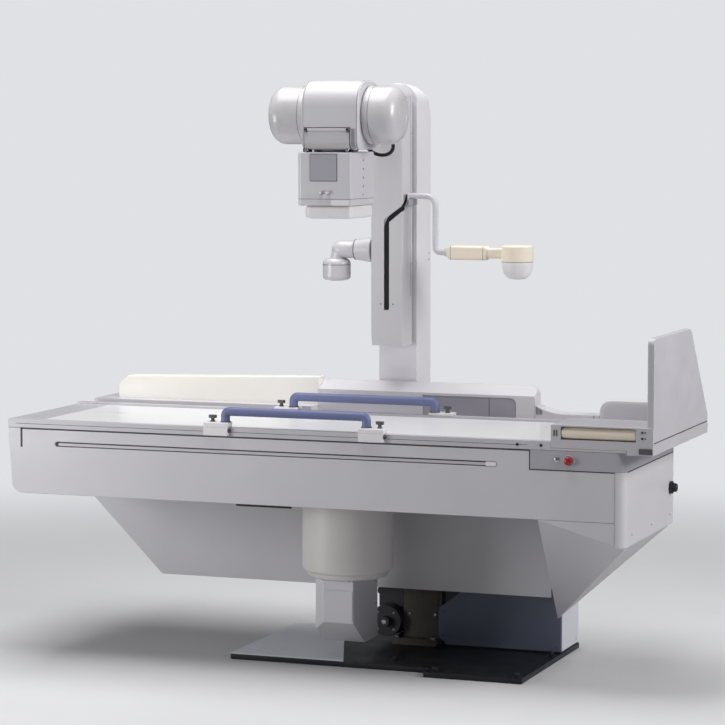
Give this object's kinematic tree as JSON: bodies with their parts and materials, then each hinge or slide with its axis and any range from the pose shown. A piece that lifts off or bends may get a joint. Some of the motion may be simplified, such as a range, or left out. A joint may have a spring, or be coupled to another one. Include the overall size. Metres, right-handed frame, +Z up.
{
  "type": "radiography_table",
  "caption": "Tilting radiography and fluoroscopy table with a column-mounted over-table X-ray tube, collimator, under-table image intensifier, handgrips and a footrest.",
  "frame": {"origin": "On the floor, under the tube and on the tabletop's centre line.", "axes": "+X runs to the foot end with the footrest, +Y to the rear where the column stands, +Z up."},
  "size_m": [2.396, 1.004, 2.088],
  "materials": {
    "plate_paint": "semi-gloss dark navy paint",
    "light_sheet": "satin light grey paint",
    "stand_paint": "satin white paint",
    "navy_panel": "satin navy paint",
    "cast_housing": "painted casting",
    "bush_bronze": "machined bronze",
    "machined_steel": "machined steel",
    "frame_alloy": "painted alloy frame",
    "body_paint": "semi-gloss lavender grey paint",
    "cap_grey": "fine-textured grey plastic",
    "cream_cover": "satin cream plastic",
    "white_cover": "satin white plastic",
    "column_paint": "semi-gloss light grey paint",
    "head_paint": "semi-gloss light grey paint on alloy",
    "drum_white": "gloss white paint on alloy",
    "pale_plastic": "pale moulded plastic",
    "tabletop_white": "gloss white laminate",
    "rail_alloy": "painted alloy",
    "grip_blue": "soft blue plastic",
    "beige_plastic": "beige plastic",
    "black_plastic": "black moulded plastic",
    "red_plastic": "red moulded plastic",
    "cable_rubber": "black cable jacket"
  },
  "bodies": {
    "base": {"base_plate": "plate_paint", "floor_cover": "light_sheet", "tilt_stand": "stand_paint", "pivot_bearing": "bush_bronze", "stand_front_panel": "navy_panel", "tilt_gearbox": "cast_housing", "tilt_motor": "navy_panel"},
    "drive_pinion": {"drive_pinion": "machined_steel"},
    "table": {"sector_gear": "machined_steel", "pivot_shaft": "machined_steel", "chassis": "frame_alloy", "front_panel": "body_paint", "left_end_cover": "body_paint", "right_end_cover": "body_paint", "control_cap": "cap_grey", "wedge_cover": "body_paint", "rear_skirt": "body_paint", "rear_deck": "frame_alloy", "rear_cover_left": "cream_cover", "rear_hood": "white_cover", "low_housing": "white_cover", "end_block": "white_cover"},
    "emergency_stop": {"emergency_stop": "red_plastic"},
    "end_knob": {"end_knob": "black_plastic"},
    "mast_carriage": {"mast_carriage": "frame_alloy", "mast": "column_paint"},
    "tube_carriage": {"tube_carriage": "column_paint", "observation_bracket": "head_paint"},
    "observation_head": {"observation_head": "head_paint"},
    "tube_head": {"tube_housing": "head_paint", "tube_end_left": "drum_white", "tube_end_right": "drum_white", "hv_cable": "cable_rubber"},
    "collimator": {"collimator_body": "head_paint", "collimator_window": "pale_plastic"},
    "collimator_knob_left": {"collimator_knob_left": "black_plastic"},
    "collimator_knob_right": {"collimator_knob_right": "black_plastic"},
    "compressor_slide": {"compressor_block": "frame_alloy"},
    "compressor_arm": {"compressor_pipe": "head_paint", "compressor_grip": "beige_plastic", "compressor_cone": "pale_plastic"},
    "image_carriage": {"imaging_housing": "frame_alloy", "intensifier_drum": "drum_white", "camera_box": "head_paint"},
    "tabletop": {"tabletop_frame": "rail_alloy", "tabletop_panel": "tabletop_white", "foot_frame": "rail_alloy"},
    "support_roller": {"support_roller": "beige_plastic"},
    "footrest": {"footrest_plate": "rail_alloy"},
    "front_grip": {"front_grip_bar": "grip_blue", "front_clamp_left": "pale_plastic", "front_clamp_right": "pale_plastic"},
    "rear_grip": {"rear_grip_bar": "grip_blue", "rear_clamp_left": "pale_plastic", "rear_clamp_right": "pale_plastic"},
    "front_clamp_knob_left": {"front_clamp_knob_left": "black_plastic"},
    "front_clamp_knob_right": {"front_clamp_knob_right": "black_plastic"},
    "rear_clamp_knob_left": {"rear_clamp_knob_left": "black_plastic"},
    "rear_clamp_knob_right": {"rear_clamp_knob_right": "black_plastic"}
  },
  "joints": [
    {"name": "table_tilt", "type": "hinge", "parent": "base", "child": "table", "pos_m": [0.568, 0, 0.692], "axis": [0, 1, 0], "range_deg": [-3, 90]},
    {"name": "pinion_turn", "type": "hinge", "parent": "base", "child": "drive_pinion", "pos_m": [0.1728, 0.32, 0.40487], "axis": [0, 1, 0], "range_deg": [-840, 40]},
    {"name": "mast_travel", "type": "slide", "parent": "table", "child": "mast_carriage", "axis": [-1, 0, 0], "range_m": [-0.35, 0.5]},
    {"name": "image_travel", "type": "slide", "parent": "table", "child": "image_carriage", "axis": [-1, 0, 0], "range_m": [-0.35, 0.5]},
    {"name": "tube_lift", "type": "slide", "parent": "mast_carriage", "child": "tube_carriage", "axis": [0, 0, 1], "range_m": [-0.12, 0]},
    {"name": "tube_turn", "type": "hinge", "parent": "tube_carriage", "child": "tube_head", "pos_m": [0, 0, 1.967], "axis": [0, 1, 0], "range_deg": [-90, 90]},
    {"name": "collimator_turn", "type": "hinge", "parent": "tube_head", "child": "collimator", "pos_m": [-0.023, 0, 1.75], "axis": [0, 0, 1], "range_deg": [-45, 45]},
    {"name": "collimator_knob_left_turn", "type": "hinge", "parent": "collimator", "child": "collimator_knob_left", "pos_m": [-0.034, -0.118, 1.6957], "axis": [0, -1, 0], "range_deg": [-120, 120]},
    {"name": "collimator_knob_right_turn", "type": "hinge", "parent": "collimator", "child": "collimator_knob_right", "pos_m": [-0.008, -0.118, 1.6957], "axis": [0, -1, 0], "range_deg": [-120, 120]},
    {"name": "compressor_lower", "type": "slide", "parent": "tube_carriage", "child": "compressor_slide", "axis": [0, 0, 1], "range_m": [-0.29, 0]},
    {"name": "compressor_swing", "type": "hinge", "parent": "compressor_slide", "child": "compressor_arm", "pos_m": [0.104, 0.447, 1.672], "axis": [0, 0, 1], "range_deg": [-105, 0]},
    {"name": "observation_turn", "type": "hinge", "parent": "tube_carriage", "child": "observation_head", "pos_m": [-0.1293, 0.473, 1.47], "axis": [1, 0, 0], "range_deg": [-60, 60]},
    {"name": "tabletop_cross", "type": "slide", "parent": "table", "child": "tabletop", "axis": [0, 1, 0], "range_m": [-0.1, 0.05]},
    {"name": "footrest_lift", "type": "slide", "parent": "tabletop", "child": "footrest", "axis": [0, 0, 1], "range_m": [0, 0.12]},
    {"name": "roller_spin", "type": "hinge", "parent": "tabletop", "child": "support_roller", "pos_m": [1.027, -0.272, 0.904], "axis": [1, 0, 0], "continuous": true},
    {"name": "front_grip_slide", "type": "slide", "parent": "tabletop", "child": "front_grip", "axis": [1, 0, 0], "range_m": [-0.15, 0.15]},
    {"name": "rear_grip_slide", "type": "slide", "parent": "tabletop", "child": "rear_grip", "axis": [1, 0, 0], "range_m": [-0.15, 0.15]},
    {"name": "front_clamp_knob_left_turn", "type": "hinge", "parent": "front_grip", "child": "front_clamp_knob_left", "pos_m": [-0.381, -0.278, 0.893], "axis": [0, 0, 1], "range_deg": [-180, 180]},
    {"name": "front_clamp_knob_right_turn", "type": "hinge", "parent": "front_grip", "child": "front_clamp_knob_right", "pos_m": [0.245, -0.278, 0.893], "axis": [0, 0, 1], "range_deg": [-180, 180]},
    {"name": "rear_clamp_knob_left_turn", "type": "hinge", "parent": "rear_grip", "child": "rear_clamp_knob_left", "pos_m": [-0.349, 0.284, 0.893], "axis": [0, 0, 1], "range_deg": [-180, 180]},
    {"name": "rear_clamp_knob_right_turn", "type": "hinge", "parent": "rear_grip", "child": "rear_clamp_knob_right", "pos_m": [0.301, 0.284, 0.893], "axis": [0, 0, 1], "range_deg": [-180, 180]},
    {"name": "estop_press", "type": "slide", "parent": "table", "child": "emergency_stop", "axis": [0, 1, 0], "range_m": [0, 0.006], "stiffness_N_per_m": 900},
    {"name": "end_knob_turn", "type": "hinge", "parent": "table", "child": "end_knob", "pos_m": [1.12, 0.318, 0.655], "axis": [1, 0, 0], "range_deg": [-150, 150]}
  ],
  "couplings": [
    {"joint": "pinion_turn", "follows": "table_tilt", "ratio": -9.1667},
    {"joint": "image_travel", "follows": "mast_travel", "ratio": 1}
  ]
}
